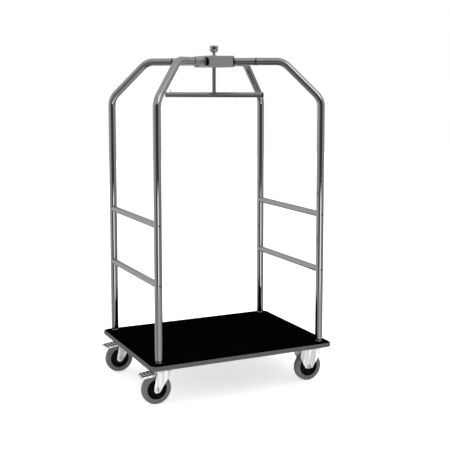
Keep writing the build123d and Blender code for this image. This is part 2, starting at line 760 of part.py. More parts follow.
def make_swivel_casters():
    """Two swivel casters: plates with outer races, kingpins, balls, forks, wheels and brakes."""
    plates, kingpins, balls = [], [], []
    plate_low = caster_height - caster_plate_t
    race_r = race_outer_d / 2
    ball_track = (race_inner_d / 2 + race_r - race_outer_wall) / 2
    for name, (x, y) in swivel_centres.items():
        plate = caster_plate() + rod_z(race_r, plate_low - race_outer_h, plate_low)
        plate -= rod_z(race_r - race_outer_wall, plate_low - race_outer_h, plate_low)
        plate -= rod_z(kingpin_d / 2, plate_low, caster_height)
        plates.append(Pos(x, y, 0) * plate)
        pin_low = crown_top - crown_thickness - thrust_gap
        kingpins.append(rod_z(kingpin_d / 2, pin_low, caster_height, x, y)
                        + rod_z(kingpin_head_d / 2, pin_low - kingpin_head_h, pin_low, x, y))
        for i in range(ball_count):
            a = 2 * pi * i / ball_count
            balls.append(Pos(x + ball_track * cos(a), y + ball_track * sin(a),
                             plate_low - ball_drop) * Sphere(ball_d / 2))
        make_fork(name, x, y)
        make_pedal(name, x, y)
        save(f"axle_{name}", *axle(x - trail, y))
        make_wheel(name, x - trail, y)
    save("swivel_plates", *plates)
    save("kingpins", *kingpins)
    save("swivel_balls", *balls)


def bracket_leg():
    """Near leg of a fixed bracket: slants in from the plate to a flat end beside the axle."""
    t, low = leg_thickness, wheel_r - bracket_tip_drop
    plate_low = caster_height - caster_plate_t
    out, tip = -bracket_flare / 2, -leg_outer
    knee = wheel_r + bracket_knee_rise
    section = Polyline((0, out, plate_low), (0, tip, knee), (0, tip, low), (0, tip + t, low),
                       (0, tip + t, knee), (0, out + t, plate_low), close=True)
    leg = extrude(make_face(section), bracket_width / 2, both=True)
    half, waist, tip_half = bracket_width / 2, bracket_waist_width / 2, bracket_tip_width / 2
    side = [(tip_half, low), (waist, wheel_r + bracket_waist_rise),
            (half, caster_height - bracket_shoulder_drop), (half, plate_low)]
    outline = side + [(-x, z) for x, z in reversed(side)]
    return leg & side_plate(outline, -bracket_flare, 0)


def make_fixed_casters():
    """Two fixed casters: pressed brackets, axles and wheels."""
    axles = []
    near = bracket_leg()
    for name, (x, y) in fixed_centres.items():
        bracket = caster_plate() + near + mirror(near, Plane.XZ)
        bracket -= rod_y(axle_d / 2, -bracket_flare / 2, bracket_flare / 2, 0, wheel_r)
        save(f"bracket_{name}", Pos(x, y, 0) * bracket)
        axles += axle(x, y)
        make_wheel(name, x, y)
    save("fixed_axles", *axles)


def make_caster_bolts():
    """Bolts from the board's top through frame and caster plates, each with its nut below."""
    bolts = []
    plate_low = caster_height - caster_plate_t
    bolt_r = caster_bolt_d / 2
    for x, y in caster_bolt_places():
        low = plate_low - caster_nut_h
        bolt = rod_z(caster_bolt_head_d / 2, board_top - caster_bolt_head_h, board_top, x, y)
        bolts.append(bolt + rod_z(bolt_r, low, board_top, x, y))
        nut = Pos(x, y, (low + plate_low) / 2) * hexagon(caster_nut_af, caster_nut_h)
        bolts.append(nut - rod_z(bolt_r, low, plate_low, x, y))
    save("caster_bolts", *bolts)


os.makedirs("parts", exist_ok=True)
make_deck()
make_posts()
make_feet()
make_side_rails()
make_hub()
make_hanger()
make_swivel_casters()
make_fixed_casters()
make_caster_bolts()
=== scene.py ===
"""Hotel luggage cart: finishes and detailed pieces around the fixed frame.

Metres, in the frame's own axes: the origin lies on the floor under the deck, +X runs along
the cart towards the fixed casters, +Y across it and +Z up.
"""

from math import acos, atan2, cos, hypot, pi, radians, sin, sqrt

import bmesh
import bpy
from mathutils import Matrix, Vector


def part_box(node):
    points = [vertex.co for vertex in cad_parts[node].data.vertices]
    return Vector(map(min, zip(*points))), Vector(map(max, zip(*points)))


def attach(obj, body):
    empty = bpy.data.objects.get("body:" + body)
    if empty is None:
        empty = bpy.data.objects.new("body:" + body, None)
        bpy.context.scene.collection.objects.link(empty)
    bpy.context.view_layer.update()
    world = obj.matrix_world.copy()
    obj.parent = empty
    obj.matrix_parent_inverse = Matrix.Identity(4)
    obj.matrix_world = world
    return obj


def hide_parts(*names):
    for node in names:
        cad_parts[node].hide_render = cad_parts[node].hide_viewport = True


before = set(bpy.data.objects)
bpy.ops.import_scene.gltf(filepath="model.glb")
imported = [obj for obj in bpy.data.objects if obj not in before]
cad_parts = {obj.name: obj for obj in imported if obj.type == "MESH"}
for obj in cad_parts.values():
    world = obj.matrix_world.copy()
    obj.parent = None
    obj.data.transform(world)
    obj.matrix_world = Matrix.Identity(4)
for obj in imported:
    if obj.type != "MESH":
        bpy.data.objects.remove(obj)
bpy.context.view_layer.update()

bl_info = {
    "name": "Hotel luggage cart",
    "version": (1, 0, 0),
    "blender": (4, 5, 0),
    "location": "View3D > Sidebar > Luggage cart",
    "description": "Finishes and detailed pieces of a hotel luggage cart, and its studio",
    "category": "Object",
}

MM = 0.001
SWIVEL_CORNERS = ("front_left", "back_left")
FIXED_CORNERS = ("front_right", "back_right")
CORNERS = SWIVEL_CORNERS + FIXED_CORNERS

COLLAR_R = 16.5 * MM        # the collar under each post
DECK_CORNER_R = 37 * MM     # the board's corners, which the felt and the bumper follow
STEEL = 3 * MM              # pressed sheet of the forks and brackets
LEG_COLUMNS = 33            # points across a caster's leg
COLLAR_POINTS = 48          # points round a collar, and round the felt's hole for it


# ---- colours and sizes ----
def linear(code):
    """Linear RGBA of an sRGB hex colour."""
    channels = [int(code[i:i + 2], 16) / 255 for i in (0, 2, 4)]
    return tuple(c / 12.92 if c <= 0.04045 else ((c + 0.055) / 1.055) ** 2.4
                 for c in channels) + (1.0,)


def colour(name, description, code):
    """Colour property with its default as an sRGB hex value."""
    return bpy.props.FloatVectorProperty(name=name, description=description, subtype="COLOR",
                                         size=4, min=0, max=1, default=linear(code))


def length(name, description, default, most):
    """Length property in metres."""
    return bpy.props.FloatProperty(name=name, description=description, subtype="DISTANCE",
                                   unit="LENGTH", min=0, max=most, default=default)


class CartColours(bpy.types.PropertyGroup):
    """Colours of the cart's finishes."""
    chrome: colour("Chrome", "Mirror plate of the posts, rails and hub", "C2C4C6")
    carpet: colour("Carpet", "Needle felt on the deck", "020202")
    bumper: colour("Bumper", "Vinyl strip round the deck", "535354")
    tyre: colour("Tyre", "Non-marking rubber", "646465")
    rim: colour("Rim", "Moulded wheel centre", "040405")
    zinc: colour("Zinc", "Plate on the casters and their bolts", "F3F3F3")
    trim: colour("Trim", "Seals, joint rings and end caps", "0E0E0F")
    powder: colour("Powder coat", "Flat steel under the deck", "161718")
    plywood: colour("Plywood", "Sealed face of the deck board", "6E6A66")
    pedal: colour("Pedal", "Grip of the brake pedals", "161617")
    bearing: colour("Bearing", "Plain bearings in the wheels", "CFC9BB")
    screw: colour("Screw", "Blackened grub screws and socket screws", "2E2F31")
    floor: colour("Floor", "Pale studio floor", "F4F4F4")


class CartSizes(bpy.types.PropertyGroup):
    """Sizes of the details that are added to the frame."""
    carpet_edge: length("Carpet edge", "Radius where the felt turns down", 1.5 * MM, 0.002)
    bumper_ridge: length("Bumper ridge", "Depth of the grooves along the bumper", 0.5 * MM, 0.002)
    tyre_line: length("Tyre line", "Height of the mould line round the tread", 0.4 * MM, 0.001)
    leg_relief: length("Leg relief", "Height of the flutes in the caster legs", 1.4 * MM, 0.002)
    leg_bend: length("Leg bend", "Outer radius of the bends in pressed steel", 8 * MM, 0.012)
    sheet_edge: length("Sheet edge", "Rounding of cut steel edges", 0.5 * MM, 0.001)
    tooth: length("Tooth", "Height of the teeth on a pedal's grip", 1.6 * MM, 0.003)
    key_size: length("Key size", "Side of the overhead light", 1.9, 5)


# ---- materials ----
def add_node(tree, kind, inputs=None, **settings):
    """Add a node; inputs gives a socket's value, or the socket that feeds it."""
    made = tree.nodes.new(kind)
    for name, value in settings.items():
        setattr(made, name, value)
    for name, value in (inputs or {}).items():
        if isinstance(value, bpy.types.NodeSocket):
            tree.links.new(value, made.inputs[name])
        else:
            made.inputs[name].default_value = value
    return made


def new_finish(name, **sockets):
    """Material with a Principled shader; sockets gives the values set on it directly."""
    material = bpy.data.materials.new(name)
    material.use_nodes = True
    tree = material.node_tree
    shader = tree.nodes["Principled BSDF"]
    for socket, value in sockets.items():
        shader.inputs[socket.replace("_", " ")].default_value = value
    place = add_node(tree, "ShaderNodeTexCoord").outputs["Object"]
    return material, tree, shader, place


def feed(tree, shader, **sources):
    """Link outputs to the shader's sockets, whose names are written with _ for a space."""
    for socket, source in sources.items():
        tree.links.new(source, shader.inputs[socket.replace("_", " ")])


def per_metre(size):
    """Texture scale of a pattern whose cells have that size in metres."""
    return 1 / size


def toned(base, factor):
    """A colour made darker, or lighter up to full, by a factor."""
    return tuple(min(1.0, factor * c) for c in base[:3]) + (1.0,)


def chrome_plate(name, base):
    """Chrome plate on polished steel: a clear mirror whose reflections bend a little where the
    polishing wheel left the metal wavy, with faint wiped patches that are less sharp."""
    material, tree, shader, place = new_finish(name, Base_Color=base, Metallic=1.0)
    wiped = add_node(tree, "ShaderNodeTexNoise", {"Vector": place, "Scale": per_metre(70 * MM),
                                                  "Detail": 4.0})
    rough = add_node(tree, "ShaderNodeMapRange", {"Value": wiped.outputs["Fac"], "From Min": 0.4,
                                                  "From Max": 0.75, "To Min": 0.03,
                                                  "To Max": 0.07})
    waves = add_node(tree, "ShaderNodeTexNoise", {"Vector": place, "Scale": per_metre(30 * MM),
                                                  "Detail": 1.0})
    bump = add_node(tree, "ShaderNodeBump", {"Height": waves.outputs["Fac"], "Strength": 0.08,
                                             "Distance": 0.3 * MM})
    feed(tree, shader, Roughness=rough.outputs["Result"], Normal=bump.outputs["Normal"])
    return material


def needle_felt(name, base):
    """Needled polypropylene felt: matt black fibres pressed flat, which give a dull nap with
    small clumps. The clumps are drawn 3 mm wide, coarser than the fibres, so that they show."""
    material, tree, shader, place = new_finish(name, Roughness=1.0, Specular_IOR_Level=0.0)
    clumps = add_node(tree, "ShaderNodeTexVoronoi", {"Vector": place, "Scale": per_metre(3 * MM),
                                                     "Randomness": 1.0}, feature="SMOOTH_F1")
    fibres = add_node(tree, "ShaderNodeTexNoise", {"Vector": place, "Scale": per_metre(1 * MM),
                                                   "Detail": 3.0})
    worn = add_node(tree, "ShaderNodeTexNoise", {"Vector": place, "Scale": per_metre(180 * MM)})
    tuft = add_node(tree, "ShaderNodeMath", {0: clumps.outputs["Distance"],
                                             1: fibres.outputs["Fac"]}, operation="MULTIPLY")
    shade = add_node(tree, "ShaderNodeMath", {0: tuft.outputs[0], 1: worn.outputs["Fac"]},
                     operation="MULTIPLY")
    mixed = add_node(tree, "ShaderNodeMix", {"Factor": shade.outputs[0], "A": toned(base, 1),
                                             "B": toned(base, 2.6)}, data_type="RGBA")
    bump = add_node(tree, "ShaderNodeBump", {"Height": tuft.outputs[0], "Strength": 0.8,
                                             "Distance": 1.2 * MM})
    feed(tree, shader, Base_Color=mixed.outputs["Result"], Normal=bump.outputs["Normal"])
    return material


def extruded_vinyl(name, base):
    """Extruded soft vinyl: satin grey with faint draw lines along the strip, since the die
    leaves each height of the section with its own slight gloss."""
    material, tree, shader, place = new_finish(name, Specular_IOR_Level=0.4)
    line_length, line_pitch = 333 * MM, 2.5 * MM
    along = add_node(tree, "ShaderNodeMapping", {
        "Vector": place,
        "Scale": (per_metre(line_length), per_metre(line_length), per_metre(line_pitch))})
    lines = add_node(tree, "ShaderNodeTexNoise", {"Vector": along.outputs[0], "Scale": 1.0,
                                                  "Detail": 3.0})
    grain = add_node(tree, "ShaderNodeTexNoise", {"Vector": place, "Scale": per_metre(0.8 * MM)})
    mixed = add_node(tree, "ShaderNodeMix", {"Factor": lines.outputs["Fac"],
                                             "A": toned(base, 1), "B": toned(base, 0.82)},
                     data_type="RGBA")
    rough = add_node(tree, "ShaderNodeMapRange", {"Value": lines.outputs["Fac"], "To Min": 0.42,
                                                  "To Max": 0.6})
    bump = add_node(tree, "ShaderNodeBump", {"Height": grain.outputs["Fac"], "Strength": 0.15,
                                             "Distance": 0.1 * MM})
    feed(tree, shader, Base_Color=mixed.outputs["Result"], Roughness=rough.outputs["Result"],
         Normal=bump.outputs["Normal"])
    return material


def moulded(name, base, gloss, roughness, grain_size, grain_depth, spread):
    """Moulded rubber or plastic: one dull colour with a fine spark-eroded grain from the mould,
    and slow cloudiness where the melt cooled unevenly."""
    material, tree, shader, place = new_finish(name, Specular_IOR_Level=gloss)
    cloud = add_node(tree, "ShaderNodeTexNoise", {"Vector": place, "Scale": per_metre(25 * MM),
                                                  "Detail": 2.0})
    grain = add_node(tree, "ShaderNodeTexNoise", {"Vector": place,
                                                  "Scale": per_metre(grain_size),
                                                  "Detail": 2.0})
    mixed = add_node(tree, "ShaderNodeMix", {"Factor": cloud.outputs["Fac"],
                                             "A": toned(base, 1), "B": toned(base, 1 - spread)},
                     data_type="RGBA")
    rough = add_node(tree, "ShaderNodeMapRange", {"Value": cloud.outputs["Fac"],
                                                  "To Min": roughness - 0.06,
                                                  "To Max": roughness + 0.08})
    bump = add_node(tree, "ShaderNodeBump", {"Height": grain.outputs["Fac"], "Strength": 0.35,
                                             "Distance": grain_depth})
    feed(tree, shader, Base_Color=mixed.outputs["Result"], Roughness=rough.outputs["Result"],
         Normal=bump.outputs["Normal"])
    return material


def zinc_plate(name, base, metallic, roughness):
    """Bright zinc plate on pressed steel: pale metal with soft upright bands of painted shade in its
    colour, which stand in for the shading across the fluted legs. A low metallic value stands for
    the milky passivated coat on the casters, which scatters more light than it mirrors."""
    material, tree, shader, place = new_finish(name, Metallic=metallic)
    streak_x, streak_y, streak_length = 14.3 * MM, 40 * MM, 667 * MM
    # The stretched space of the upright streaks, which paint shade into the colour below and give a
    # faint bump.
    drawn = add_node(tree, "ShaderNodeMapping", {
        "Vector": place,
        "Scale": (per_metre(streak_x), per_metre(streak_y), per_metre(streak_length))})
    painted_shade_streaks = add_node(tree, "ShaderNodeTexNoise", {"Vector": drawn.outputs[0], "Scale": 1.0,
                                                    "Detail": 1.0})
    share = add_node(tree, "ShaderNodeMapRange", {"Value": painted_shade_streaks.outputs["Fac"],
                                                  "From Min": 0.4, "From Max": 0.62})
    spangle = add_node(tree, "ShaderNodeTexNoise", {"Vector": place, "Scale": per_metre(5 * MM),
                                                    "Detail": 2.0})
    # Painted shade: the colour darkens towards 0.56 of the base along the streaks, standing in for
    # the shading across the fluted legs.
    mixed = add_node(tree, "ShaderNodeMix", {"Factor": share.outputs["Result"],
                                             "A": toned(base, 1), "B": toned(base, 0.56)},
                     data_type="RGBA")
    rough = add_node(tree, "ShaderNodeMapRange", {"Value": spangle.outputs["Fac"],
                                                  "To Min": roughness - 0.05,
                                                  "To Max": roughness + 0.05})
    bump = add_node(tree, "ShaderNodeBump", {"Height": painted_shade_streaks.outputs["Fac"], "Strength": 0.1,
                                             "Distance": 0.3 * MM})
    feed(tree, shader, Base_Color=mixed.outputs["Result"], Roughness=rough.outputs["Result"],
         Normal=bump.outputs["Normal"])
    return material


def powder_coat(name, base):
    """Powder-coated steel: satin black with the low orange peel of cured powder."""
    material, tree, shader, place = new_finish(name, Base_Color=base, Specular_IOR_Level=0.5)
    peel = add_node(tree, "ShaderNodeTexNoise", {"Vector": place, "Scale": per_metre(2 * MM),
                                                 "Detail": 1.0})
    dust = add_node(tree, "ShaderNodeTexNoise", {"Vector": place, "Scale": per_metre(90 * MM)})
    rough = add_node(tree, "ShaderNodeMapRange", {"Value": dust.outputs["Fac"], "To Min": 0.34,
                                                  "To Max": 0.5})
    bump = add_node(tree, "ShaderNodeBump", {"Height": peel.outputs["Fac"], "Strength": 0.25,
                                             "Distance": 0.15 * MM})
    feed(tree, shader, Roughness=rough.outputs["Result"], Normal=bump.outputs["Normal"])
    return material


def sealed_plywood(name, base):
    """Birch plywood under a grey-brown sealer: long faint grain along the board's faces, and
    darker glue lines at its edges. They are 6 mm apart, coarser than veneers, so that they show."""
    material, tree, shader, place = new_finish(name, Specular_IOR_Level=0.4)
    grain_length, grain_width, ply_pitch = 250 * MM, 16.7 * MM, 6 * MM
    stretched = add_node(tree, "ShaderNodeMapping", {
        "Vector": place,
        "Scale": (per_metre(grain_length), per_metre(grain_width), per_metre(grain_width))})
    grain = add_node(tree, "ShaderNodeTexNoise", {"Vector": stretched.outputs[0], "Scale": 1.0,
                                                  "Detail": 6.0, "Distortion": 0.6})
    # At a scale of 1 a wave texture repeats every 2 pi / 20.
    plies = add_node(tree, "ShaderNodeTexWave", {"Vector": place,
                                                 "Scale": per_metre(ply_pitch) * 2 * pi / 20},
                     bands_direction="Z")
    edge = add_node(tree, "ShaderNodeMath", {0: plies.outputs["Fac"], 1: 0.35},
                    operation="MULTIPLY")
    share = add_node(tree, "ShaderNodeMath", {0: grain.outputs["Fac"], 1: edge.outputs[0]},
                     operation="ADD")
    mixed = add_node(tree, "ShaderNodeMix", {"Factor": share.outputs[0], "A": toned(base, 1),
                                             "B": toned(base, 0.6)}, data_type="RGBA")
    rough = add_node(tree, "ShaderNodeMapRange", {"Value": grain.outputs["Fac"], "To Min": 0.45,
                                                  "To Max": 0.65})
    bump = add_node(tree, "ShaderNodeBump", {"Height": grain.outputs["Fac"], "Strength": 0.2,
                                             "Distance": 0.2 * MM})
    feed(tree, shader, Base_Color=mixed.outputs["Result"], Roughness=rough.outputs["Result"],
         Normal=bump.outputs["Normal"])
    return material


def finish(slot):
    """The finish of a material slot, made once and then shared."""
    colours = bpy.context.scene.cart_colours
    makers = {
        "chrome_tube": lambda n: chrome_plate(n, colours.chrome),
        "chrome_hub": lambda n: chrome_plate(n, colours.chrome),
        "chrome_hanger": lambda n: chrome_plate(n, colours.chrome),
        "black_trim": lambda n: moulded(n, colours.trim, 0.15, 0.42, 0.8 * MM, 0.05 * MM, 0.3),
        "dark_screw": lambda n: zinc_plate(n, colours.screw, 1.0, 0.38),
        "zinc_fastener": lambda n: zinc_plate(n, colours.zinc, 0.9, 0.32),
        "plywood": lambda n: sealed_plywood(n, colours.plywood),
        "carpet": lambda n: needle_felt(n, colours.carpet),
        "grey_bumper": lambda n: extruded_vinyl(n, colours.bumper),
        "black_steel": lambda n: powder_coat(n, colours.powder),
        "zinc_caster": lambda n: zinc_plate(n, colours.zinc, 0.15, 0.25),
        "zinc_lever": lambda n: zinc_plate(n, colours.zinc, 0.15, 0.25),
        "pedal_plastic": lambda n: moulded(n, colours.pedal, 0.4, 0.36, 0.9 * MM, 0.08 * MM, 0.25),
        "grey_tyre": lambda n: moulded(n, colours.tyre, 0.3, 0.62, 0.7 * MM, 0.08 * MM, 0.12),
        "black_rim": lambda n: moulded(n, colours.rim, 0.12, 0.45, 0.9 * MM, 0.06 * MM, 0.3),
        "bearing_plastic": lambda n: moulded(n, colours.bearing, 0.5, 0.4, 0.9 * MM, 0.05 * MM, 0.1),
    }
    return bpy.data.materials.get(f"finish_{slot}") or makers[slot](f"finish_{slot}")


def finish_nodes(*names):
    """Give the named frame nodes the finish of the material slot that each was packed with."""
    for name in names:
        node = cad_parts[name]
        slot = node.data.materials[0].name.split(".")[0]
        node.data.materials.clear()
        node.data.materials.append(finish(slot))


# ---- mesh helpers ----
def add_piece(name, points, faces, slot, body, replaced=(), edge=0.0):
    """Make a piece from points and faces, which rides on a body and stands in for the replaced
    nodes. Edge rounds its sharp edges by that much, applied to the mesh."""
    mesh = bpy.data.meshes.new(name)
    mesh.from_pydata([tuple(p) for p in points], [], faces)
    bm = bmesh.new()
    bm.from_mesh(mesh)
    bmesh.ops.recalc_face_normals(bm, faces=bm.faces)
    bm.to_mesh(mesh)
    bm.free()
    piece = bpy.data.objects.new(name, mesh)
    bpy.context.scene.collection.objects.link(piece)
    if edge:
        bevel = piece.modifiers.new("edge", "BEVEL")
        bevel.width, bevel.segments, bevel.limit_method = edge, 2, "ANGLE"
        bevel.angle_limit = radians(40)
        seen = piece.evaluated_get(bpy.context.evaluated_depsgraph_get())
        piece.data = bpy.data.meshes.new_from_object(seen)
        piece.modifiers.clear()
        piece.data.name = name
    piece.data.shade_smooth()
    piece.data.set_sharp_from_angle(angle=radians(35))
    piece.data.materials.clear()
    piece.data.materials.append(finish(slot))
    if replaced:
        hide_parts(*replaced)
    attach(piece, body)
    return piece


def joined(*parts):
    """Points and faces of several parts as one."""
    points, faces = [], []
    for part_points, part_faces in parts:
        faces += [tuple(i + len(points) for i in face) for face in part_faces]
        points += list(part_points)
    return points, faces


def closed_band(loops, ends_meet=True):
    """Join each loop of points to the next and, if the ends meet, the last to the first."""
    count, size = len(loops), len(loops[0])
    points = [p for loop in loops for p in loop]
    faces = [(i * size + j, i * size + (j + 1) % size, (i + 1) % count * size + (j + 1) % size,
              (i + 1) % count * size + j)
             for i in range(count if ends_meet else count - 1) for j in range(size)]
    return points, faces


def pressed_sheet(outside, inside):
    """Closed sheet of steel between matching rows of points on its outer and inner face."""
    loops = [a + list(reversed(b)) for a, b in zip(outside, inside)]
    points, faces = closed_band(loops, ends_meet=False)
    size = len(loops[0])
    for first in (0, len(points) - size):
        faces += [(first + j, first + j + 1, first + size - 2 - j, first + size - 1 - j)
                  for j in range(size // 2 - 1)]
    return points, faces


def sheet_grid(rows):
    """Join each row of points to the next, as an open sheet."""
    size = len(rows[0])
    points = [p for row in rows for p in row]
    faces = [(i * size + j, i * size + j + 1, (i + 1) * size + j + 1, (i + 1) * size + j)
             for i in range(len(rows) - 1) for j in range(size - 1)]
    return points, faces


def turned(profile, centre, segments):
    """Solid turned about an axle along Y, from its closed profile as (radius, y) points."""
    loops = []
    for i in range(segments):
        a = 2 * pi * i / segments
        loops.append([centre + Vector((r * cos(a), y, r * sin(a))) for r, y in profile])
    return closed_band(loops)


def turned_upright(profile, centre, segments):
    """Solid turned about an upright axis, from its closed profile as (radius, z) points."""
    loops = []
    for i in range(segments):
        a = 2 * pi * i / segments
        loops.append([centre + Vector((r * cos(a), r * sin(a), z)) for r, z in profile])
    return closed_band(loops)


def prism(outline, low, high, slope=0.0):
    """Upright prism from its outline as (x, y) points; its ends rise by slope along X."""
    count = len(outline)
    points = [Vector((x, y, z + slope * x)) for z in (low, high) for x, y in outline]
    faces = [tuple(reversed(range(count))), tuple(range(count, 2 * count))]
    faces += [(i, (i + 1) % count, count + (i + 1) % count, count + i) for i in range(count)]
    return points, faces


def rounded_outline(half_x, half_y, radius, steps=10):
    """Places and outward directions round a rectangle with rounded corners."""
    outline = []
    for quarter in range(4):
        sx, sy = ((1, 1), (-1, 1), (-1, -1), (1, -1))[quarter]
        for i in range(steps + 1):
            a = (quarter + i / steps) * pi / 2
            out = Vector((cos(a), sin(a)))
            outline.append((Vector((sx * (half_x - radius), sy * (half_y - radius)))
                            + radius * out, out))
    return outline


def spread(low, high, count):
    """Evenly spaced values, both ends included."""
    return [low + (high - low) * i / (count - 1) for i in range(count)]


def smooth_step(value):
    """0 below 0, 1 above 1 and smooth between."""
    t = min(1.0, max(0.0, value))
    return t * t * (3 - 2 * t)


def middle(node):
    """Middle of a frame node's box."""
    low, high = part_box(node)
    return (low + high) / 2


def collar_places():
    """Centres of the four collars, as (x, y)."""
    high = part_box("foot_collars")[1]
    return [(sx * (high.x - COLLAR_R), sy * (high.y - COLLAR_R))
            for sx in (-1, 1) for sy in (-1, 1)]


# ---- deck ----
def bumper_section(height, thickness, groove):
    """Section of the bumper as (outward, z) points from its bottom, a bulged face with three
    grooves and a flat back."""
    half, corner = height / 2, 5 * MM
    pitch, groove_width = 4.4 * MM, 2.4 * MM
    face = []
    for z in spread(-half, half, 45):
        reach = max(0.0, abs(z) - (half - corner)) / corner
        bulge = thickness - corner * (1 - sqrt(max(0.0, 1 - reach * reach)))
        dip = sum(groove * max(0.0, cos(pi * (z - g) / groove_width)) ** 2
                  for g in (-pitch, 0, pitch) if abs(z - g) < groove_width / 2)
        face.append((bulge - dip, z))
    return face + [(0, half), (0, -half)]


class CART_OT_deck(bpy.types.Operator):
    """Lay the felt and the bumper strip, and finish the board and the flat steel under it"""
    bl_idname = "cart.deck"
    bl_label = "Deck"

    def execute(self, context):
        sizes = context.scene.cart_sizes
        low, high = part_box("edge_bumper")
        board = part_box("deck_board")[1]
        outline = rounded_outline(board.x, board.y, DECK_CORNER_R, steps=14)
        section = bumper_section(high.z - low.z, high.x - board.x, sizes.bumper_ridge)
        mid_z = (low.z + high.z) / 2
        loops = [[Vector((*(place + reach * out), mid_z + z)) for reach, z in section]
                 for place, out in outline]
        add_piece("bumper_strip", *closed_band(loops), "grey_bumper", "cart", ["edge_bumper"])
        self.lay_felt(sizes.carpet_edge, outline, (2 * board.x, 2 * board.y))
        finish_nodes("deck_board", "corner_plates", "frame_bars", "deck_screws")
        return {"FINISHED"}

    def lay_felt(self, edge, outline, flat):
        """Felt with its edges turned down, cut out round the four collars."""
        low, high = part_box("deck_carpet")
        gap = 0.5 * MM
        hole_r = COLLAR_R + gap
        bm = bmesh.new()

        def loop_edges(points):
            """Points joined in a loop, and the edges between them."""
            verts = [bm.verts.new(p) for p in points]
            return verts, [bm.edges.new((verts[i - 1], verts[i])) for i in range(len(verts))]

        def levels(rims):
            """Walls through rims, each a list of points, and the first and last rim's edges."""
            made = [loop_edges(points) for points in rims]
            for (lower, _), (upper, _) in zip(made, made[1:]):
                for i in range(len(lower)):
                    bm.faces.new((lower[i - 1], lower[i], upper[i], upper[i - 1]))
            return made[0][1], made[-1][1]

        turn = [(edge * (1 - cos(a)), high.z - edge + edge * sin(a))
                for a in (i * pi / 8 for i in range(5))]
        heights = [(0.0, low.z)] + turn
        bottom, top = [], []
        rounds = [[[(*(p - inset * out), z) for p, out in outline] for inset, z in heights]]
        angles = [2 * pi * i / COLLAR_POINTS for i in range(COLLAR_POINTS)]
        rounds += [[[(x + (hole_r + inset) * cos(a), y + (hole_r + inset) * sin(a), z)
                     for a in angles] for inset, z in heights] for x, y in collar_places()]
        for rims in rounds:
            first, last = levels(rims)
            bottom += first
            top += last
        for edges in (bottom, top):
            bmesh.ops.triangle_fill(bm, use_beauty=True, edges=edges)
        bm.verts.index_update()
        points = [v.co.copy() for v in bm.verts]
        faces = [tuple(v.index for v in f.verts) for f in bm.faces]
        bm.free()
        felt = add_piece("carpet_felt", points, faces, "carpet", "cart", ["deck_carpet"])


# ---- tubes, hub and hanger ----
class CART_OT_posts(bpy.types.Operator):
    """Finish the posts and the side rails, and turn the plated collars under the posts"""
    bl_idname = "cart.posts"
    bl_label = "Posts and rails"

    def execute(self, context):
        finish_nodes(*[f"post_{corner}" for corner in CORNERS])
        finish_nodes(*[f"side_rail_{side}_{level}" for side in ("left", "right")
                       for level in ("lower", "upper")])
        finish_nodes("foot_plugs", "foot_bolts", "rail_inserts", "rail_bolts")
        low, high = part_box("foot_collars")
        waist, lip, bore = COLLAR_R - 2 * MM, 3 * MM, 4.5 * MM
        profile = [(bore, 0.0), (COLLAR_R, 0.0), (COLLAR_R, high.z - low.z - lip)]
        profile += [(waist + (COLLAR_R - waist) * cos(a), high.z - low.z - lip + lip * sin(a))
                    for a in (pi / 8, pi / 4, 3 * pi / 8, pi / 2)]
        profile.append((bore, high.z - low.z))
        rings = [turned_upright(profile, Vector((x, y, low.z)), COLLAR_POINTS)
                 for x, y in collar_places()]
        add_piece("plated_collars", *joined(*rings), "chrome_tube", "cart", ["foot_collars"])
        return {"FINISHED"}


class CART_OT_hub(bpy.types.Operator):
    """Finish the hub, its stubs and the joints to the posts"""
    bl_idname = "cart.hub"
    bl_label = "Hub"

    def execute(self, context):
        finish_nodes("hub_shell", "hub_base", "hub_stubs", "hub_seals", "joint_rings",
                     "joint_spigots", "joint_grub_screws", "upper_bush", "lower_bush")
        return {"FINISHED"}


class CART_OT_hanger(bpy.types.Operator):
    """Finish the hanging bar, its rod, caps and pins, and the knob on top"""
    bl_idname = "cart.hanger"
    bl_label = "Garment bar"

    def execute(self, context):
        finish_nodes("hanger_rod", "hanger_bar", "bar_end_caps", "hanger_stop_pins",
                     "finial_knob")
        return {"FINISHED"}


# ---- wheels ----
def tyre_section(outer, inner, width, line, ridge):
    """Section of a tyre as (radius, y) points: crowned tread with a mould line, round shoulders,
    a raised ring on each side wall and a ridge that keys into the rim."""
    half, shoulder = width / 2, 9 * MM
    side = [(outer + line, 0.0), (outer, 0.5 * MM), (outer - 0.1 * MM, half - shoulder)]
    side += [(outer - shoulder + shoulder * sin(a), half - shoulder + shoulder * cos(a))
             for a in (radians(80 - 10 * i) for i in range(9))]
    ring = inner + 10 * MM
    side += [(ring + 4 * MM, half), (ring + 3.2 * MM, half - 0.9 * MM),
             (ring, half - 0.9 * MM), (ring - 0.8 * MM, half), (inner + 2 * MM, half),
             (inner + 0.4 * MM, half - 0.6 * MM), (inner, half - 1.6 * MM),
             (inner, ridge), (inner + 3 * MM, ridge)]
    return side + [(r, -y) for r, y in reversed(side[1:])]


def rim_section(rim_r, half_rim, boss_r, half_boss, bore, ridge):
    """Section of a rim as (radius, y) points: a dished web between a stepped lip and the boss."""
    web = 7 * MM
    lip = rim_r - 6 * MM
    side = [(bore, half_boss - 0.6 * MM), (bore + 0.6 * MM, half_boss),
            (boss_r - 1 * MM, half_boss), (boss_r, half_boss - 1 * MM),
            (boss_r + 1.5 * MM, web + 4 * MM), (boss_r + 5 * MM, web + 0.6 * MM),
            (boss_r + 8 * MM, web), (lip - 9 * MM, web), (lip - 5 * MM, web + 0.8 * MM),
            (lip - 1.2 * MM, web + 4 * MM), (lip, half_rim - 3 * MM),
            (lip + 0.8 * MM, half_rim - 0.6 * MM), (lip + 1.8 * MM, half_rim),
            (rim_r - 0.8 * MM, half_rim), (rim_r, half_rim - 0.8 * MM),
            (rim_r, ridge), (rim_r + 3 * MM, ridge)]
    return side + [(r, -y) for r, y in reversed(side)]


